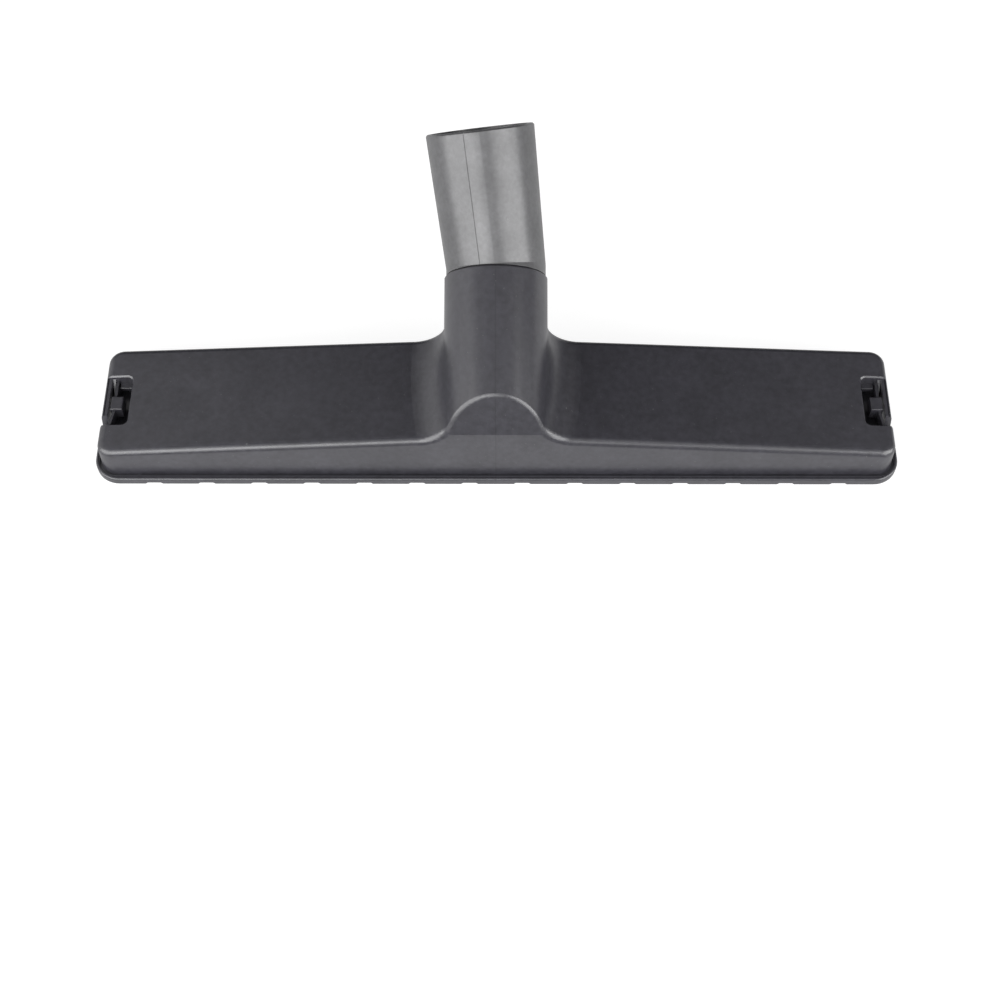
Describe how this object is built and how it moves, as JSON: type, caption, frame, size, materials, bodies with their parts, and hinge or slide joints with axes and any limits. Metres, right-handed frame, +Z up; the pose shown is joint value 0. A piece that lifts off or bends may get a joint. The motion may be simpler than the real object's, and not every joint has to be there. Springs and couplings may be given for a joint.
{
  "type": "vacuum floor nozzle",
  "caption": "Wide, flat suction nozzle for hard floors, open underneath, with a swivelling elbow that takes a vacuum tube.",
  "frame": {"origin": "middle of the rim's resting face, in the middle of the seat for a clip-in insert", "axes": "+X along the width, +Y to the back, where the neck leans, +Z up; the rim rests on Z = 0"},
  "size_m": [0.2992, 0.1145, 0.0945],
  "materials": {
    "housing_plastic": "satin, fine grain",
    "elbow_plastic": "satin, fine grain"
  },
  "bodies": {
    "housing": {"housing": "housing_plastic"},
    "elbow": {"elbow_tube": "elbow_plastic"}
  },
  "joints": [
    {"name": "elbow_swivel", "type": "hinge", "parent": "housing", "child": "elbow", "pos_m": [0, 0.03457, 0.04433], "axis": [0, 0.9205, 0.3907], "continuous": true}
  ]
}
